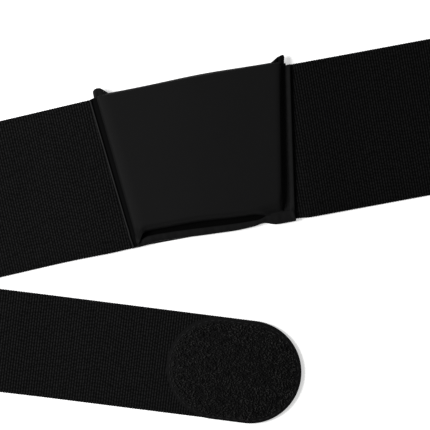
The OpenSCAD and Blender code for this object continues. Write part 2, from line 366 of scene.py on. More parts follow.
def repeat(name, item, spots, turns, sizes=None, leans=None):
    """Copies one item to many places, each turned by its own angle, as one piece."""
    base = points(item) / MM
    faces = [list(face.vertices) for face in item.data.polygons]
    spots, turns = np.array(spots, float), np.array(turns, float)
    count = len(spots)
    sizes = np.ones((count, 3)) if sizes is None else sizes
    co = base[None, :, :] * sizes[:, None, :]
    if leans is not None:
        co[:, :, 0] += co[:, :, 2] * leans[:, :1]
        co[:, :, 1] += co[:, :, 2] * leans[:, 1:]
    c, s = np.cos(turns)[:, None], np.sin(turns)[:, None]
    turned = np.stack(
        (co[:, :, 0] * c - co[:, :, 1] * s, co[:, :, 0] * s + co[:, :, 1] * c, co[:, :, 2]), axis=2
    )
    placed = (turned + spots[:, None, :]).reshape(-1, 3) * MM
    mesh = bpy.data.meshes.new(name)
    every = [[v + i * len(base) for v in face] for i in range(count) for face in faces]
    mesh.from_pydata(placed.tolist(), [], every)
    piece = bpy.data.objects.new(name, mesh)
    bpy.context.scene.collection.objects.link(piece)
    bpy.data.objects.remove(item)
    soften(piece)
    return piece


def stitch_row(a, b, z):
    """Places and turns of a row of stitches between two places in plan."""
    run = math.hypot(b[0] - a[0], b[1] - a[1])
    turn = math.atan2(b[1] - a[1], b[0] - a[0])
    count = int((run - STITCH_L) / STITCH_PITCH)
    first = (run - count * STITCH_PITCH) / 2
    found = []
    for i in range(count + 1):
        d = first + i * STITCH_PITCH
        found.append((a[0] + d * math.cos(turn), a[1] + d * math.sin(turn), z, turn))
    return found


def stitch_box(length, width, z):
    """Places and turns of the stitches round a rectangle about the origin."""
    found = []
    for side in (-1, 1):
        y, x = side * width / 2, side * length / 2
        found += stitch_row((-length / 2, y), (length / 2, y), z)
        found += stitch_row((x, 0.5 - width / 2), (x, width / 2 - 0.5), z)
    return found


def sew(name, rows):
    """Makes one piece of all the stitches in rows, and finishes it as thread."""
    rows = np.array(rows)
    piece = repeat(name, stitch(), rows[:, :3], rows[:, 3])
    finish(piece, "thread", "front", name, slot="thread")
    return piece


def finish(piece, material, body, *nodes, slot=None):
    """Gives a piece its material, the body that it moves with and the nodes that it stands for."""
    piece.data.materials.clear()
    piece.data.materials.append(bpy.data.materials["belt " + material])
    if body:
        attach(piece, body)
    if nodes:
        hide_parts(*nodes)


# ---- shader node groups and materials ----
class Nodes:
    """Lays shader nodes in a tree, one call for each."""

    def __init__(self, tree):
        self.tree = tree

    def add(self, kind, **values):
        node = self.tree.nodes.new(kind)
        for name, value in values.items():
            setattr(node, name, value)
        return node

    def feed(self, socket, value):
        if isinstance(value, bpy.types.NodeSocket):
            self.tree.links.new(value, socket)
        else:
            socket.default_value = value

    def math(self, operation, a, b=0.0):
        node = self.add("ShaderNodeMath", operation=operation)
        self.feed(node.inputs[0], a)
        self.feed(node.inputs[1], b)
        return node.outputs[0]

    def span(self, value, low, high, to_low, to_high):
        node = self.add("ShaderNodeMapRange")
        for name, number in zip(
            ("From Min", "From Max", "To Min", "To Max"), (low, high, to_low, to_high)
        ):
            self.feed(node.inputs[name], number)
        self.feed(node.inputs["Value"], value)
        return node.outputs["Result"]

    def noise(self, vector, scale, detail=2.0):
        node = self.add("ShaderNodeTexNoise")
        self.feed(node.inputs["Vector"], vector)
        self.feed(node.inputs["Scale"], scale)
        node.inputs["Detail"].default_value = detail
        return node.outputs["Fac"]


def group(name, inputs, outputs):
    """An empty node group with named inputs and outputs; returns its nodes and both ends."""
    tree = bpy.data.node_groups.new(name, "ShaderNodeTree")
    for label, kind, default in inputs:
        socket = tree.interface.new_socket(label, in_out="INPUT", socket_type=kind)
        if default is not None:
            socket.default_value = default
    for label in outputs:
        tree.interface.new_socket(label, in_out="OUTPUT", socket_type="NodeSocketFloat")
    n = Nodes(tree)
    return n, n.add("NodeGroupInput").outputs, n.add("NodeGroupOutput").inputs


def knit_group():
    """Ribs broken into short dashes, as covered rubber shows between its weft threads, with painted shade in
    the grooves between the ribs.
    """
    n, given, out = group(
        "Knit ribs",
        [
            ("Pattern", "NodeSocketVector", None),
            ("Rib Pitch", "NodeSocketFloat", 0.00128),
            ("Dash", "NodeSocketFloat", 0.0011),
            ("Break", "NodeSocketFloat", 0.75),
            ("Contrast", "NodeSocketFloat", 0.5),
        ],
        ("Shade", "Height"),
    )
    axes = n.add("ShaderNodeSeparateXYZ")
    n.feed(axes.inputs[0], given["Pattern"])
    phase = n.math("DIVIDE", axes.outputs[0], given["Rib Pitch"])
    offset = n.add("ShaderNodeTexWhiteNoise", noise_dimensions="1D")
    n.feed(offset.inputs["W"], n.math("FLOOR", phase))
    wander = n.math("MULTIPLY", n.noise(given["Pattern"], 600.0), 1.8)
    along = n.math("DIVIDE", axes.outputs[1], given["Dash"])
    along = n.math("ADD", n.math("ADD", along, offset.outputs["Value"]), wander)
    dash = n.math("ABSOLUTE", n.math("SINE", n.math("MULTIPLY", along, math.pi)))
    ridge = n.math("ABSOLUTE", n.math("SINE", n.math("MULTIPLY", phase, math.pi)))
    dash = n.math("SUBTRACT", n.math("POWER", dash, 1.6), 1.0)
    dash = n.math("ADD", n.math("MULTIPLY", dash, given["Break"]), 1.0)
    thread = n.math("MULTIPLY", dash, ridge)
    fibres = n.noise(given["Pattern"], 2600.0, 3.0)
    blend = n.math("ADD", n.math("MULTIPLY", thread, 0.75), n.math("MULTIPLY", fibres, 0.5))
    n.feed(out["Height"], blend)
    # Painted shade: the colour darkens in the grooves between ribs; the dashes and fibres are the knit's own
    # tone.
    swing = n.math("MULTIPLY", n.math("SUBTRACT", blend, 0.55), given["Contrast"])
    n.feed(out["Shade"], n.math("MAXIMUM", n.math("ADD", swing, 1.0), 0.08))


def fleck_group():
    """Sparse lint and worn fibres that catch the light."""
    n, given, out = group(
        "Lint flecks",
        [
            ("Place", "NodeSocketVector", None),
            ("Scale", "NodeSocketFloat", 1500.0),
            ("Amount", "NodeSocketFloat", 0.3),
        ],
        ("Shade", "Height"),
    )
    fine = n.noise(given["Place"], given["Scale"], 3.0)
    fleck = n.span(fine, 0.62, 0.74, 0.0, 1.0)
    n.feed(out["Shade"], n.math("ADD", n.math("MULTIPLY", fleck, given["Amount"]), 1.0))
    n.feed(out["Height"], fine)


def grain_group():
    """The fine even grain of laminated cloth, with slow changes of tone over it."""
    n, given, out = group(
        "Laminate grain",
        [
            ("Place", "NodeSocketVector", None),
            ("Grain", "NodeSocketFloat", 1800.0),
            ("Mottle", "NodeSocketFloat", 0.12),
            ("Clouds", "NodeSocketFloat", 0.12),
        ],
        ("Shade", "Height"),
    )
    fine = n.noise(given["Place"], given["Grain"], 2.0)
    slow = n.noise(given["Place"], 60.0, 3.0)
    tone = n.math("MULTIPLY", n.math("SUBTRACT", slow, 0.5), given["Clouds"])
    speck = n.math("MULTIPLY", n.math("SUBTRACT", fine, 0.5), given["Mottle"])
    shade = n.math("ADD", n.math("ADD", tone, speck), 1.0)
    n.feed(out["Shade"], n.math("MAXIMUM", shade, 0.08))
    n.feed(out["Height"], fine)


def weave_group():
    """Plain weave: warp and weft threads that pass over each other."""
    n, given, out = group(
        "Tape weave",
        [
            ("Place", "NodeSocketVector", None),
            ("Pitch", "NodeSocketFloat", 0.0007),
        ],
        ("Shade", "Height"),
    )
    axes = n.add("ShaderNodeSeparateXYZ")
    n.feed(axes.inputs[0], given["Place"])
    waves = []
    for axis in (0, 1):
        turns = n.math("DIVIDE", axes.outputs[axis], given["Pitch"])
        waves.append(n.math("SINE", n.math("MULTIPLY", turns, math.pi)))
    cross = n.math("MULTIPLY", waves[0], waves[1])
    n.feed(out["Height"], n.math("ABSOLUTE", cross))
    fibres = n.noise(given["Place"], 2200.0, 2.0)
    n.feed(out["Shade"], n.math("ADD", n.math("MULTIPLY", cross, 0.25), n.math("ADD", fibres, 0.5)))


def cloth_material(name, colour, rough, specular, pattern, bump, painted_falloff_shade=1.0, **values):
    """A dark cloth: its pattern group shades the colour and drives roughness and bump.

    painted_falloff_shade is painted shade: the tone of the cloth to the right of the pocket, against that to
    its left, darker as the light falls off."""
    material = bpy.data.materials.new("belt " + name)
    material.use_nodes = True
    n = Nodes(material.node_tree)
    shader = material.node_tree.nodes["Principled BSDF"]
    shader.inputs["Specular IOR Level"].default_value = specular
    places = n.add("ShaderNodeTexCoord")
    place = places.outputs["UV" if pattern == "Knit ribs" else "Object"]
    made = n.add("ShaderNodeGroup", node_tree=bpy.data.node_groups[pattern])
    n.feed(made.inputs[0], place)
    for label, value in values.items():
        n.feed(made.inputs[label.replace("_", " ").title()], value)
    flecks = n.add("ShaderNodeGroup", node_tree=bpy.data.node_groups["Lint flecks"])
    n.feed(flecks.inputs["Place"], places.outputs["Object"])
    shade = n.math("MULTIPLY", made.outputs["Shade"], flecks.outputs["Shade"])
    # Painted shade: the cloth right of the pocket is darkened where the light falls off.
    if painted_falloff_shade != 1:
        axes = n.add("ShaderNodeSeparateXYZ")
        n.feed(axes.inputs[0], places.outputs["Object"])
        shade = n.math("MULTIPLY", shade, n.span(axes.outputs[0], 0.036, 0.05, 1.0, painted_falloff_shade))
    scaled = n.add("ShaderNodeVectorMath", operation="SCALE")
    scaled.inputs[0].default_value = colour[:3]
    n.feed(scaled.inputs["Scale"], shade)
    n.feed(shader.inputs["Base Color"], scaled.outputs[0])
    low, high = rough
    n.feed(shader.inputs["Roughness"], n.span(made.outputs["Height"], 0.0, 1.0, high, low))
    relief = n.add("ShaderNodeBump")
    relief.inputs["Strength"].default_value = bump[0]
    relief.inputs["Distance"].default_value = bump[1]
    n.feed(relief.inputs["Height"], made.outputs["Height"])
    n.feed(shader.inputs["Normal"], relief.outputs["Normal"])
    return material


# ---- sizes and colours ----
def tone_property(name, description, tone):
    return FloatVectorProperty(
        name=name, description=description, subtype="COLOR", size=3, min=0, max=1, default=tone
    )


def length_property(name, description, length):
    return FloatProperty(
        name=name, description=description, default=length, min=0, unit="LENGTH", precision=5
    )


class BELT_PG_sizes(bpy.types.PropertyGroup):
    """Sizes of the belt's visible detail"""

    rib_pitch: length_property("Rib pitch", "Distance from one rib to the next", 0.00128)
    rib_depth: length_property("Rib depth", "Depth of the groove between two ribs", 0.00034)
    crown: length_property("Pocket crown", "How far the pocket's front domes", 0.0003)
    hook_pitch: length_property("Hook pitch", "Distance from one hook to the next", 0.00102)
    loop_pitch: length_property("Loop pitch", "Distance from one loop to the next", 0.0013)
    jitter: FloatProperty(
        name="Scatter",
        description="Share of the pitch by which hooks and loops stray",
        default=0.42,
        min=0,
        max=1,
        subtype="FACTOR",
    )


class BELT_PG_colours(bpy.types.PropertyGroup):
    """Colours of the belt's cloths and of the stage"""

    elastic: tone_property("Elastic", "Ribbed elastic", (0.0036, 0.0036, 0.0037))
    laminate: tone_property("Laminate", "Smooth cloth of the pocket", (0.0066, 0.0066, 0.0067))
    rolled: tone_property("Rolled edges", "Laminate where it is turned over", (0.0062, 0.0062, 0.0063))
    # Painted highlight: a brighter laminate for the lit left fold and the lit rim of the hook pad's
    # stitches.
    painted_highlight: tone_property("Worn fold", "Laminate where a fold is rubbed", (0.0120, 0.0120, 0.0122))
    # Painted shade: the lining is coloured near black so that the mouth's slot reads as deep shade.
    lining: tone_property("Lining", "Cloth inside the pocket", (0.0008, 0.0008, 0.0008))
    # Painted shade: a darkened laminate for the left flange's channel and the right ear, which lie in shade.
    seam: tone_property("Seam", "Laminate pressed flat beside the seam", (0.0022, 0.0022, 0.0023))
    tape: tone_property("Tape", "Woven tape", (0.0042, 0.0042, 0.0043))
    hooks: tone_property("Hooks", "Plastic hooks", (0.0168, 0.0167, 0.0162))
    pile: tone_property("Loops", "Loop pile", (0.0090, 0.0090, 0.0092))
    thread: tone_property("Thread", "Sewing thread", (0.0080, 0.0080, 0.0082))
    floor: tone_property("Floor", "Surface that the belt lies on", (0.86, 0.86, 0.86))


# ---- operators ----
class BELT_OT_materials(bpy.types.Operator):
    """Makes the shared patterns and the belt's materials"""

    bl_idname = "belt.materials"
    bl_label = "Materials"

    def execute(self, context):
        c = context.scene.belt_colours
        knit_group()
        fleck_group()
        grain_group()
        weave_group()
        ribs, grain, weave = "Knit ribs", "Laminate grain", "Tape weave"
        pitch = context.scene.belt_sizes.rib_pitch
        # The elastic's colour carries painted shade: darker in the rib grooves, and darker right of the
        # pocket by painted_falloff_shade.
        cloth_material(
            "elastic", c.elastic, (0.55, 0.8), 0.03, ribs, (0.6, 0.00016),
            painted_falloff_shade=0.7, rib_pitch=pitch, contrast=2.9, dash=0.0017,
        )
        cloth_material("laminate", c.laminate, (0.62, 0.7), 0.03, grain, (0.12, 0.00003))
        # The lining's near-black colour is painted shade.
        cloth_material("lining", c.lining, (0.7, 0.8), 0.02, grain, (0.12, 0.00003))
        # The seam colour is painted shade.
        cloth_material("seam", c.seam, (0.7, 0.8), 0.02, grain, (0.12, 0.00003))
        cloth_material("rolled", c.rolled, (0.6, 0.7), 0.03, grain, (0.2, 0.00005), mottle=0.3)
        # Painted highlight for the lit fold edge and stitched rim.
        cloth_material("painted_highlight", c.painted_highlight, (0.5, 0.6), 0.06, grain, (0.2, 0.00005), mottle=0.3)
        cloth_material("tape", c.tape, (0.55, 0.75), 0.04, weave, (0.5, 0.0001))
        cloth_material(
            "hooks", c.hooks, (0.4, 0.55), 0.06, grain, (0.1, 0.00003),
            grain=520.0, mottle=4.5, clouds=0.4,
        )
        cloth_material("pile", c.pile, (0.7, 0.9), 0.03, grain, (0.2, 0.00005), mottle=0.6)
        cloth_material("thread", c.thread, (0.5, 0.7), 0.06, weave, (0.6, 0.00006), pitch=0.00025)
        return {"FINISHED"}


class BELT_OT_wide_band(bpy.types.Operator):
    """Lays the wide ribbed elastic and turns its right end into a hem"""

    bl_idname = "belt.wide_band"
    bl_label = "Wide band"

    def execute(self, context):
        turn_x = BAND_END - ELASTIC_T
        arc = math.pi * HALF

        def width(s):
            # Drawn in inside the pocket, and tapered towards the strap.
            inside = 1.2 * smooth((38 - np.abs(s)) / 3)
            taper = TAPER * np.clip((TAPER_L - BAND_END - s) / TAPER_L, 0, 1)
            return BAND_HALF - inside - taper + 0.2 * smooth((s - 40) / 6)

        def route(s, y, h):
            angle = np.clip((s - turn_x) / HALF, 0, math.pi)
            back = np.maximum(s - turn_x - arc, 0)
            x = np.minimum(s, turn_x) + HALF * np.sin(angle) - back - h * np.sin(angle)
            z = HALF + band_lift(np.minimum(s, turn_x)) + HALF * (1 - np.cos(angle))
            z = z + h * np.cos(angle)
            turn = BEND * smooth((-38 - s) / 8)
            slack = 0.8 * hump((s + 52) / 17) + 0.3 * smooth((s - 40) / 6)
            y = y - slack * smooth(-y / BAND_HALF)
            middle_x, middle_y = band_middle(x)
            return middle_x - y * np.sin(turn), middle_y + y * np.cos(turn), z

        end = turn_x + arc + turn_x - (BAND_END - HEM_L)
        piece = ribbed("wide_elastic", -BAND_END, end, width, route)
        finish(piece, "elastic", "front", "wide_band", slot="elastic")
        return {"FINISHED"}


class BELT_OT_strap(bpy.types.Operator):
    """Lays the narrow strap: its sewn root, its fold and its tail with the round tip"""

    bl_idname = "belt.strap"
    bl_label = "Narrow strap"

    def execute(self, context):
        slant = math.tan(SKEW)

        def full(s):
            return np.full(len(s), STRAP_HALF + 0.15)

        def root_route(s, y, h):
            q = s - y * slant * smooth((s - 214) / 40)
            x, across = left_point(q, y)
            return x, across, HALF + root_lift(s) + h

        def fold_route(s, y, h):
            angle = np.clip(s / FOLD_R, 0, math.pi) - math.pi / 2
            past = np.maximum(-s, 0) + np.maximum(s - math.pi * FOLD_R, 0)
            out = (FOLD_R - h) * np.cos(angle) - past
            line = BEND - SKEW + math.pi / 2
            along = y / math.cos(SKEW)
            return (
                FOLD_X + along * math.cos(line) - out * math.sin(line),
                FOLD_Y + along * math.sin(line) + out * math.cos(line),
                FOLD_Z + (FOLD_R - h) * np.sin(angle),
            )

        def tail_route(s, y, h):
            x, across = tail_point(s - y * slant * (1 - smooth(s / 40)), y + 0.3)
            return x, across, HALF + tail_lift(s) + h

        def tail_half(s):
            past = np.clip((s - TIP_X) / (STRAP_HALF + 0.2), 0, 1)
            return (STRAP_HALF + 0.15) * np.sqrt(1 - past**2)

        root = ribbed("strap_end_sewn", JOIN_AT - ROOT_L, FOLD_AT - 0.3, full, root_route)
        finish(root, "elastic", "front", "strap_root", slot="elastic")
        fold = ribbed("strap_fold", -0.4, math.pi * FOLD_R + 0.4, full, fold_route)
        finish(fold, "elastic", None, "tail_fold", slot="elastic")
        low, high = [(FOLD_X * MM, FOLD_Y * MM, (FOLD_Z + r) * MM) for r in (-FOLD_R, FOLD_R)]
        # The strap comes first: at a half turn the fold then turns over its outside.
        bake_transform(fold, "tail", "front", start=high, end=low)
        turn_evenly(fold)
        tail = ribbed("strap_tail", 0.3, TAIL_L + 0.2, tail_half, tail_route)
        finish(tail, "elastic", None, "tail_strap", "tail_tip", slot="elastic")
        ends = [tail_point(x, 0) for x in (PEEL_X, HOOK_X)]
        start, end = [(x * MM, y * MM, ELASTIC_T * MM) for x, y in ends]
        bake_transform(tail, "tail", "tip", start=start, end=end)
        return {"FINISHED"}


def turn_evenly(piece):
    """Turns the fold by its angle round the strap, so that it closes flat when the strap opens."""
    co = points(piece) / MM
    line = BEND - SKEW + math.pi / 2
    out = (co[:, 1] - FOLD_Y) * math.cos(line) - (co[:, 0] - FOLD_X) * math.sin(line)
    angle = np.arctan2(co[:, 2] - FOLD_Z, out)
    share = np.clip(0.5 - angle / math.pi, 0, 1)
    share = np.where(out < 0, np.where(co[:, 2] > FOLD_Z, 0, 1), share)
    piece.data.attributes["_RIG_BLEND"].data.foreach_set("value", share.astype(np.float32))


class BELT_OT_pocket_shell(bpy.types.Operator):
    """Lays the laminate behind the band and the lining on the band's front"""

    bl_idname = "belt.pocket_shell"
    bl_label = "Pocket back and lining"

    def execute(self, context):
        def back(u, v):
            y = -POCKET_Y + 2 * POCKET_Y * v
            x = out_right_x(y) + (out_left_x(y) - out_right_x(y)) * u
            rim = np.minimum(np.minimum(u, 1 - u) * 90, np.minimum(v, 1 - v) * 78)
            cut = np.interp(x, (-50.4, -48.5, -47.2, 45.4, 46.8), (36.45, 37.35, 37.9, 37.9, 35.1))
            y = np.minimum(y, cut)
            return x, y, 0.05 + 0.3 * (1 - smooth(rim / 2.5))

        def lining(u, v):
            y = LIP_Y - 1.8 + (36.5 - LIP_Y) * v
            x = left_x(y) + 0.3 + (right_x(y) - left_x(y) - 0.6) * u
            sag = 0.12 * np.sin(u * 7) * np.sin(v * 5)
            return x, y, 3.4 + 0.1 * sag + 0 * u

        rear = shell("pocket_rear", 36, 32, back, 0.85)
        finish(rear, "laminate", "front", "pocket_back", slot="laminate")
        inner = shell("pocket_lining_cloth", 30, 30, lining, LAMINATE_T)
        # The lining is painted near black: painted shade inside the mouth.
        finish(inner, "lining", "front", "pocket_lining", slot="laminate")
        return {"FINISHED"}


class BELT_OT_pocket_front(bpy.types.Operator):
    """Makes the padded front panel with its soft left side and its rolled hem"""

    bl_idname = "belt.pocket_front"
    bl_label = "Pocket front"

    def execute(self, context):
        crown = context.scene.belt_sizes.crown / MM
        soft_l, soft_r, soft_t, foot = 6.5, 3.2, 1.4, 3.7

        def hem_line(x):
            """The mouth's edge: a little arched, and drawn down to the lip at both ends."""
            middle = -31.8 - 2.0 * smooth((x + 14) / 34)
            sewn = smooth((-35.5 - x) / 4.5)
            return middle + (-37.2 - middle) * sewn - 2.6 * smooth((x - 18) / 12)

        def place(u, v):
            # Columns crowd towards both sides and rows towards the hem, which turns under.
            edge_l = soft_l * (1 - np.cos(np.clip(u / 0.2, 0, 1) * math.pi / 2))
            edge_r = soft_r * (1 - np.cos(np.clip((1 - u) / 0.14, 0, 1) * math.pi / 2))
            inside = np.clip((u - 0.2) / 0.66, 0, 1)
            turn = np.clip((0.1 - v) / 0.06, 0, 1) * math.pi
            tuck = np.clip((0.04 - v) / 0.04, 0, 1) * 4
            foot_l, foot_r = left_x(LIP_Y) - 0.5, right_x(LIP_Y)
            below = foot_l + soft_l + (foot_r - foot_l - soft_l - soft_r) * inside
            below = np.where(u < 0.2, foot_l + edge_l, np.where(u > 0.86, foot_r - edge_r, below))
            hem, top = hem_line(below), top_line(-46 + 90 * u) - 0.4
            y = np.interp(v, (0.1, 0.3, 0.9, 1), (0, 3, 70, 70.5))
            y = np.where(v < 0.3, hem + y, hem + 3 + (top - soft_t - hem - 3) * (v - 0.3) / 0.6)
            crest = soft_t * np.sin(np.clip((v - 0.9) / 0.1, 0, 1) * math.pi / 2)
            y = np.where(v > 0.9, top - soft_t + crest, y)
            lo, hi = left_x(y) - 0.5, right_x(y)
            x = np.where(
                u <= 0.2, lo + edge_l,
                np.where(u >= 0.86, hi - edge_r, lo + soft_l + (hi - lo - soft_l - soft_r) * inside),
            )
            # Each side rises as a tight edge with a softer shoulder behind it.
            left = 0.74 * shoulder((x - lo) / 1.3) + 0.26 * shoulder((x - lo) / soft_l)
            steep = 0.9 + 1.5 * smooth((-22 - y) / 10)
            right = 0.66 * shoulder((hi - x) / steep) + 0.34 * shoulder((hi - x) / soft_r)
            rise = left * right * shoulder((top - y) / soft_t)
            dome = crown * np.sin(math.pi * u) * np.sin(math.pi * np.clip(v, 0, 1))
            slope = 2.2 * smooth((x + 10) / 60)
            # The hem sags into the mouth, and lies down on the lip where it is sewn.
            closed = np.maximum(smooth((-33.5 - x) / 4), smooth((x - 19.5) / 8))
            droop = 4.6 * (1 - shoulder((y - hem) / 3.4)) * (1 - closed)
            droop = droop + 4.2 * closed * smooth((-30.2 - y) / 5.4)
            z = foot + (FRONT_Z - 0.1 - foot + dome - slope - droop) * rise
            roll = 0.85 * np.clip((z - foot) / 4, 0.1, 1)
            y = y - roll * np.sin(turn) + tuck
            z = z - roll * (1 - np.cos(turn))
            return x, y, z

        piece = shell("pocket_front_panel", 60, 60, place, LAMINATE_T)
        finish(piece, "laminate", None, "pocket_front", "mouth_hem", slot="laminate")
        hinge, hem = [(0, y * MM, FRONT_Z * MM) for y in (HINGE_Y, HEM_Y)]
        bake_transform(piece, "front", "mouth", start=hinge, end=hem)
        hold_corners(piece)
        return {"FINISHED"}


def hold_corners(piece):
    """Keeps the panel's sewn sides still while the middle of its hem lifts."""
    weights = piece.data.attributes["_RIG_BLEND"].data
    held = np.zeros(len(weights), np.float32)
    weights.foreach_get("value", held)
    co = points(piece) / MM
    x, y = co[:, 0], co[:, 1]
    free = smooth((x - left_x(y) - 5) / 12) * smooth((right_x(y) - 8 - x) / 12)
    weights.foreach_set("value", (held * free).astype(np.float32))


def lip_edge(x):
    """The lip's lower outline, wavy where the laminate puckers round the band's edge."""
    waves = 1.0 * hump((x + 24) / 13) + 0.45 * hump((x + 29) / 3) - 0.5 * hump((x - 9) / 9)
    return -39.35 + waves + 0.65 * hump((x - 22.5) / 3) - 1.25 * smooth((x - 23) / 7)


class BELT_OT_pocket_rims(bpy.types.Operator):
    """Turns the laminate round the band's edges: the lip below the mouth, the roll and its ears"""

    bl_idname = "belt.pocket_rims"
    bl_label = "Lip, roll and ears"

    def execute(self, context):
        def lip(u, v):
            # From under the band's edge, round it, and up and in to the mouth.
            x = -40.2 + 78.9 * u
            low = lip_edge(x)
            high = -34.3 - 2.1 * smooth((x + 30) / 50) - 0.9 * smooth((-34 - x) / 4)
            high = high + 2.0 * smooth((x - 20) / 8)
            turn = np.array((0, 0.2, 0.4, 0.62, 0.8, 0.92, 1))
            level = np.interp(v, turn, (0.15, 1.1, 2.6, 3.9, 4.45, 4.4, 3.9))
            part = np.interp(v, turn, (0.12, 0, 0, 0.06, 0.45, 0.85, 1))
            ends = np.minimum((x + 40.2) / 4, (38.7 - x) / 4)
            crumple = 0.6 * (1 - smooth(ends)) * np.sin(x * 2.1 + v * 4)
            ripple = 0.12 * np.sin(x * 0.7) + 0.08 * np.sin(x * 1.7 + 1)
            lift = (crumple + ripple) * np.clip(v * 2 - 0.6, 0, 1) * smooth((1 - v) / 0.2)
            return x, low + (high - low) * part, level + lift

        def roll(u, v):
            # From the panel's top edge down behind the band.
            x = -46.5 + 91.5 * u
            turn = np.array((0, 0.3, 0.5, 0.7, 0.85, 1))
            level = np.interp(v, turn, (3.5, 3.45, 2.9, 1.6, 0.6, 0.15))
            y = np.interp(v, turn, (-3.8, -0.9, -0.15, 0, -0.25, -1.0))
            return x, top_line(x) + y, level

        def left_ear(u, v):
            x = -48.3 + 7.7 * u
            top = np.interp(u, (0, 0.1, 0.3, 0.55, 0.8, 1), (39.9, 41.0, 41.6, 41.3, 39.6, 38.2))
            body = 0.35 + 0.65 * shoulder(u / 0.25) * shoulder((1 - u) / 0.5)
            z = 3.0 + (1.2 + 3.6 * np.sqrt(np.clip(1 - v, 0, 1))) * body
            return x, 36.5 + v * (top - 36.5), z + 0.3 * np.sin(u * 12) * (1 - v)

        def right_ear(u, v):
            x = 40.4 + 7.35 * u - 0.9 * (1 - v) * u
            top = np.interp(u, (0, 0.12, 0.5, 0.88, 0.96, 1), (38.2, 38.7, 40.5, 41.2, 40.8, 39.9))
            body = 0.3 + 0.7 * shoulder((1 - u) / 0.9)
            z = 2.8 + (1.4 + 3.6 * np.sqrt(np.clip(1 - v, 0, 1))) * body
            return x, 36.2 + v * (top - 36.2), z - 1.3 * hump((u - 0.55) / 0.12) * body

        made = shell("mouth_lip_roll", 90, 12, lip, 0.55)
        finish(made, "rolled", "front", "mouth_lip", slot="laminate")
        made = shell("top_edge_roll", 60, 10, roll, LAMINATE_T)
        finish(made, "laminate", "front", "top_roll", slot="laminate")
        # The right ear takes the seam colour: painted shade on a flap facing away from the light.
        ears = (("ear_left", left_ear, "laminate"), ("ear_right", right_ear, "seam"))
        for name, ear, material in ears:
            made = shell(name, 24, 10, ear, LAMINATE_T)
            finish(made, material, "front", slot="laminate")
        return {"FINISHED"}


class BELT_OT_side_seams(bpy.types.Operator):
    """Makes the flanges beside the front panel, the folded edge and the rolled welt"""

    bl_idname = "belt.side_seams"
    bl_label = "Side seams"

    def execute(self, context):
        def ends(y):
            return 1.6 * smooth((y - 35.6) / 2) + 1.2 * smooth((-37.2 - y) / 1.8)

        def left(u, v):
            y = -39.4 + (75.6 + 1.5 * u) * v
            x = left_x(y) - 4.1 + 4.3 * u
            groove = 0.2 * hump((u - 0.3) / 0.3)
            return x, y, 3.6 - groove - ends(y)

        def right(u, v):
            y = -38.6 + 75.6 * v
            lo, hi = right_x(y) - 0.3, out_right_x(y) - 2.2
            return lo + (hi - lo) * u, y, 3.5 - 0.2 * np.sin(math.pi * u) - ends(y)

        def welt(u, v):
            y = -39.9 + 75.9 * v
            turn = np.array((0, 0.12, 0.3, 0.55, 0.75, 0.86, 0.93, 1))
            across = np.interp(u, turn, (-2.9, -2.7, -2.15, -1.2, -0.45, -0.05, 0.1, 0.1))
            level = np.interp(u, turn, (3.3, 3.6, 4.0, 4.35, 4.5, 4.35, 3.8, 2.9))
            close = shoulder((y + 39.9) / 2.5) * shoulder((36.0 - y) / 1.6)
            lumps = 0.12 * np.sin(y * 0.9) + 0.07 * np.sin(y * 2.3 + 2)
            pucker = 0.5 * hump((y + 36) / 1.6) * np.sin(u * 6)
            level = 2.9 + (level - 2.9 + lumps + pucker) * close
            return out_right_x(y) + across * (0.55 + 0.45 * close), y, level

        made = shell("left_flange_cloth", 16, 40, left, LAMINATE_T)
        # The left flange takes the seam colour: painted shade in the channel beside the panel.
        finish(made, "seam", "front", "left_flange", slot="laminate")
        made = shell("right_flange_cloth", 8, 30, right, LAMINATE_T)
        finish(made, "laminate", "front", "right_flange", slot="laminate")
        made = shell("right_welt_roll", 16, 60, welt, 0.5)
        finish(made, "rolled", "front", "right_welt", slot="laminate")
        path = []
        for y in np.linspace(-39.0, 36.3, 60):
            wiggle = 0.12 * math.sin(y * 0.8) * float(smooth((-26 - y) / 6))
            path.append((left_x(y) - 3.45 - 0.0095 * y + wiggle, y, 3.7 - float(ends(y))))
        made = tube("left_edge_bead", path, 0.45)
        # The left fold's bead carries a painted highlight.
        finish(made, "painted_highlight", "front", "left_edge_fold", slot="laminate")
        return {"FINISHED"}


class BELT_OT_bindings(bpy.types.Operator):
    """Folds woven tape over the tapered edges of the band's left end"""

    bl_idname = "belt.bindings"
    bl_label = "Taper bindings"

    def execute(self, context):
        lean = math.atan2(TAPER, TAPER_L)
        made = []
        for side, name in ((1, "binding_upper"), (-1, "binding_lower")):
            def place(u, v):
                turn = np.array((0, 0.5, 0.62, 0.72, 0.85, 1))
                out = np.interp(v, turn, (-5, -0.4, 0.15, 0.5, 0.5, 0.35))
                level = np.interp(v, turn, (2.25, 2.3, 2.25, 1.9, 1.0, 0.1))
                run = 25.8 * u
                x = run * math.cos(lean) - out * math.sin(lean)
                y = run * math.sin(lean) + out * math.cos(lean)
                x, y = left_point(JOIN_AT - x, side * (BAND_HALF - TAPER + y))
                return x, y, level

            def turned(u, v):
                return place(1 - u, v)

            made.append(shell(name, 20, 12, place if side > 0 else turned, 0.4))
            finish(made[-1], "tape", "front", slot="edge_tape")
        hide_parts("taper_bindings")
        return {"FINISHED"}


def scattered(spots, size, seed):
    """Strays each spot a little, and gives each its own turn, size and lean."""
    draw = np.random.default_rng(seed)
    jitter = bpy.context.scene.belt_sizes.jitter * size
    spots = spots + draw.uniform(-jitter, jitter, spots.shape)
    turns = draw.uniform(0, 2 * math.pi, len(spots))
    sizes = np.stack([draw.uniform(0.8, 1.15, len(spots)) for _ in range(3)], axis=1)
    leans = draw.uniform(-0.35, 0.35, (len(spots), 2))
    return spots, turns, sizes, leans


def lattice(length, width, pitch):
    """Spots of a staggered lattice over a rectangle about the origin."""
    rows = int(width / (pitch * 0.87))
    found = []
    for row in range(rows + 1):
        y = (row - rows / 2) * pitch * 0.87
        shift = pitch / 2 * (row % 2)
        count = int((length - shift) / pitch)
        found += [(shift + i * pitch - length / 2, y) for i in range(count + 1)]
    return np.array(found)


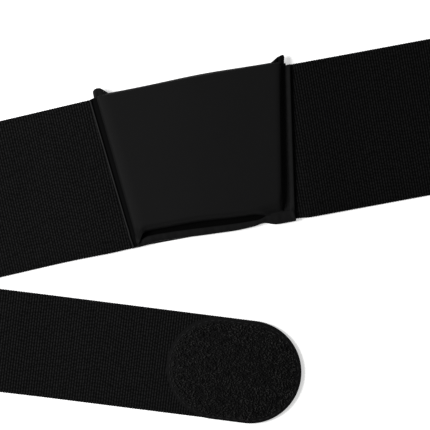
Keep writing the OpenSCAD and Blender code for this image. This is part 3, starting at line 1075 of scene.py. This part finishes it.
class BELT_OT_hook_pad(bpy.types.Operator):
    """Makes the pad with two round ends: its tape, its hooks and its stitching"""

    bl_idname = "belt.hook_pad"
    bl_label = "Hook pad"

    def execute(self, context):
        bare()
        bpy.ops.mesh.primitive_cylinder_add(vertices=128, radius=PAD_R * MM, depth=TAPE_T * MM)
        tape = named("hook_pad_tape")
        co = points(tape) / MM
        co[:, 0] += np.where(co[:, 0] > -0.001, PAD_RUN / 2, -PAD_RUN / 2)
        x, y = tail_point(PAD_X + co[:, 0], co[:, 1] + 0.2)
        put_points(tape, np.stack((x, y, co[:, 2] + TAPE_Z), axis=1) * MM)
        apply(tape, "BEVEL", width=0.2 * MM, segments=3, limit_method="ANGLE")
        soften(tape, 40)
        finish(tape, "tape", "tip", "hook_tape", slot="hook_tape")

        pitch = context.scene.belt_sizes.hook_pitch / MM
        spots = lattice(PAD_RUN + 49, 49, pitch)
        along = np.maximum(np.abs(spots[:, 0]) - PAD_RUN / 2, 0)
        spots = spots[np.hypot(along, spots[:, 1]) < HOOKS_R]
        spots, turns, sizes, leans = scattered(spots, pitch, 11)
        x, y = tail_point(PAD_X + spots[:, 0], spots[:, 1])
        places = np.stack((x, y, np.full(len(x), 2.25)), axis=1)
        path = ((0, 0, 0), (0, 0, 0.45), (0.1, 0, 0.75), (0.38, 0, 0.92), (0.6, 0, 0.7))
        item = drawn_thread("hook", path, 0.19, 4)
        hooks = repeat("hook_field", item, places, turns, sizes, leans)
        finish(hooks, "hooks", "tip", "hooks", slot="hooks")

        ring, step = [], math.pi / RING_STEPS
        for side in (-1, 1):
            row = stitch_row((-PAD_RUN / 2, side * RING_R), (PAD_RUN / 2, side * RING_R), 2.35)
            ring += row
            for i in range(RING_STEPS):
                turn = (i + 0.5) * step - math.pi / 2
                ring.append((
                    side * (PAD_RUN / 2 + RING_R * math.cos(turn)),
                    RING_R * math.sin(turn), 2.35, side * (turn + math.pi / 2),
                ))
        ring = np.array(ring)
        x, y = tail_point(PAD_X + ring[:, 0], ring[:, 1])
        places = np.stack((x, y, ring[:, 2]), axis=1)
        seam = repeat("hook_pad_stitches", stitch(), places, ring[:, 3] - TAIL_TURN)
        # The hook pad's stitches carry a painted highlight along its rim.
        finish(seam, "painted_highlight", "tip", "hook_stitches", slot="thread")
        return {"FINISHED"}


class BELT_OT_loop_pad(bpy.types.Operator):
    """Makes the landing for the hooks: a woven tape with a pile of loops"""

    bl_idname = "belt.loop_pad"
    bl_label = "Loop pad"

    def execute(self, context):
        middle = (LOOP_X, -DROP_RIGHT)
        bare()
        bpy.ops.mesh.primitive_cube_add(size=1, scale=(LOOP_L * MM, LOOP_W * MM, TAPE_T * MM))
        tape = named("loop_pad_tape")
        bpy.ops.object.transform_apply(location=True, rotation=True, scale=True)
        bpy.ops.object.mode_set(mode="EDIT")
        bpy.ops.mesh.select_all(action="SELECT")
        bpy.ops.mesh.bevel(offset=0.2 * MM, segments=3)
        bpy.ops.object.mode_set(mode="OBJECT")
        put_points(tape, points(tape) + np.array((*middle, TAPE_Z)) * MM)
        soften(tape, 40)
        finish(tape, "tape", "front", "loop_tape", slot="edge_tape")

        pitch = context.scene.belt_sizes.loop_pitch / MM
        spots = lattice(LOOP_L - 4, LOOP_W - 4, pitch)
        spots, turns, sizes, leans = scattered(spots, pitch, 5)
        places = np.column_stack((spots + np.array(middle), np.full(len(spots), 2.2)))
        path = (
            (-0.3, 0, 0), (-0.38, 0, 0.35), (-0.3, 0, 0.62), (0.02, 0, 0.8),
            (0.32, 0, 0.62), (0.38, 0, 0.35), (0.3, 0, 0.0),
        )
        item = drawn_thread("loop", path, 0.12, 4)
        pile = repeat("loop_field", item, places, turns, sizes, leans)
        finish(pile, "pile", "front", "loop_pile", slot="loop_pile")
        return {"FINISHED"}


class BELT_OT_stitching(bpy.types.Operator):
    """Sews the pocket's seams, the join, the turned hem and the loop pad"""

    bl_idname = "belt.stitching"
    bl_label = "Stitching"

    def execute(self, context):
        seam = (LIP_Y + 1, 33.75)
        sew("left_stitches", stitch_row(*[(left_x(y) - 1.9, y) for y in seam], 3.1))
        sew("right_stitches", stitch_row(*[(right_x(y) + 1.25, y) for y in seam], 3.4))
        reach = BAND_HALF - 3
        rows = []
        for along in (3, HEM_L - 3):
            x = BAND_END - HEM_L + along
            rows += stitch_row((x, -DROP_RIGHT - reach), (x, reach - DROP_RIGHT), 3.6)
        sew("end_stitches", rows)
        box = stitch_box(LOOP_L - 1.5, LOOP_W - 1.5, 2.3)
        sew("loop_stitches", [(x + LOOP_X, y - DROP_RIGHT, z, turn) for x, y, z, turn in box])
        rows = []
        for x, y, z, turn in stitch_box(26, 44, 3.6) + stitch_row((-10, 0), (10, 0), 3.6):
            rows.append((*left_point(JOIN_AT - ROOT_L / 2 - x, y), z, turn + BEND))
        sew("join_stitches", rows)
        return {"FINISHED"}


class BELT_OT_stage(bpy.types.Operator):
    """Lays the pale floor and sets the camera and the soft lights"""

    bl_idname = "belt.stage"
    bl_label = "Stage"

    def execute(self, context):
        bare()
        bpy.ops.mesh.primitive_plane_add(size=8, location=(0, 0, -0.0002))
        floor = named("floor")
        paper = bpy.data.materials.new("paper")
        paper.use_nodes = True
        shader = paper.node_tree.nodes["Principled BSDF"]
        shader.inputs["Base Color"].default_value = (*context.scene.belt_colours.floor, 1)
        shader.inputs["Roughness"].default_value = 0.9
        shader.inputs["Specular IOR Level"].default_value = 0.1
        shader.inputs["Emission Color"].default_value = (1, 1, 1, 1)
        shader.inputs["Emission Strength"].default_value = 0.5
        floor.data.materials.append(paper)

        scene = context.scene
        scene.view_settings.view_transform = "Standard"
        scene.world = bpy.data.worlds.new("studio")
        scene.world.use_nodes = True
        air = scene.world.node_tree.nodes["Background"]
        air.inputs["Color"].default_value = (1, 1, 1, 1)
        air.inputs["Strength"].default_value = 0.2

        key = bpy.data.lights.new("key", "AREA")
        key.size = 0.42
        key.energy = 11.8
        lamp = bpy.data.objects.new("key", key)
        lamp.location = (-0.62, 0.12, 0.68)
        lamp.rotation_euler = lamp.location.to_track_quat("Z", "Y").to_euler()
        scene.collection.objects.link(lamp)

        eye = bpy.data.cameras.new("camera")
        eye.lens = 200
        eye.sensor_width = 36
        eye.clip_end = 50
        camera = bpy.data.objects.new("camera", eye)
        camera.location = (-0.0001, -0.0304, 1.1765)
        camera.rotation_euler = (0, 0, math.radians(-10.5))
        scene.collection.objects.link(camera)
        scene.camera = camera
        return {"FINISHED"}


STEPS = (
    BELT_OT_materials, BELT_OT_wide_band, BELT_OT_strap, BELT_OT_pocket_shell,
    BELT_OT_pocket_front, BELT_OT_pocket_rims, BELT_OT_side_seams, BELT_OT_bindings,
    BELT_OT_hook_pad, BELT_OT_loop_pad, BELT_OT_stitching, BELT_OT_stage,
)


class BELT_PT_panel(bpy.types.Panel):
    """Lists the belt's sizes, colours and pieces"""

    bl_label = "Money belt"
    bl_idname = "BELT_PT_panel"
    bl_space_type = "VIEW_3D"
    bl_region_type = "UI"
    bl_category = "Money belt"

    def draw(self, context):
        for settings in (context.scene.belt_sizes, context.scene.belt_colours):
            column = self.layout.column(align=True)
            for name in settings.__annotations__:
                column.prop(settings, name)
        for step in STEPS:
            self.layout.operator(step.bl_idname)


CLASSES = (BELT_PG_sizes, BELT_PG_colours, *STEPS, BELT_PT_panel)


def register():
    for cls in CLASSES:
        bpy.utils.register_class(cls)
    bpy.types.Scene.belt_sizes = PointerProperty(type=BELT_PG_sizes)
    bpy.types.Scene.belt_colours = PointerProperty(type=BELT_PG_colours)


def unregister():
    del bpy.types.Scene.belt_colours
    del bpy.types.Scene.belt_sizes
    for cls in reversed(CLASSES):
        bpy.utils.unregister_class(cls)


def main():
    register()
    for step in STEPS:
        area, name = step.bl_idname.split(".")
        getattr(getattr(bpy.ops, area), name)()


if __name__ == "__main__":
    main()
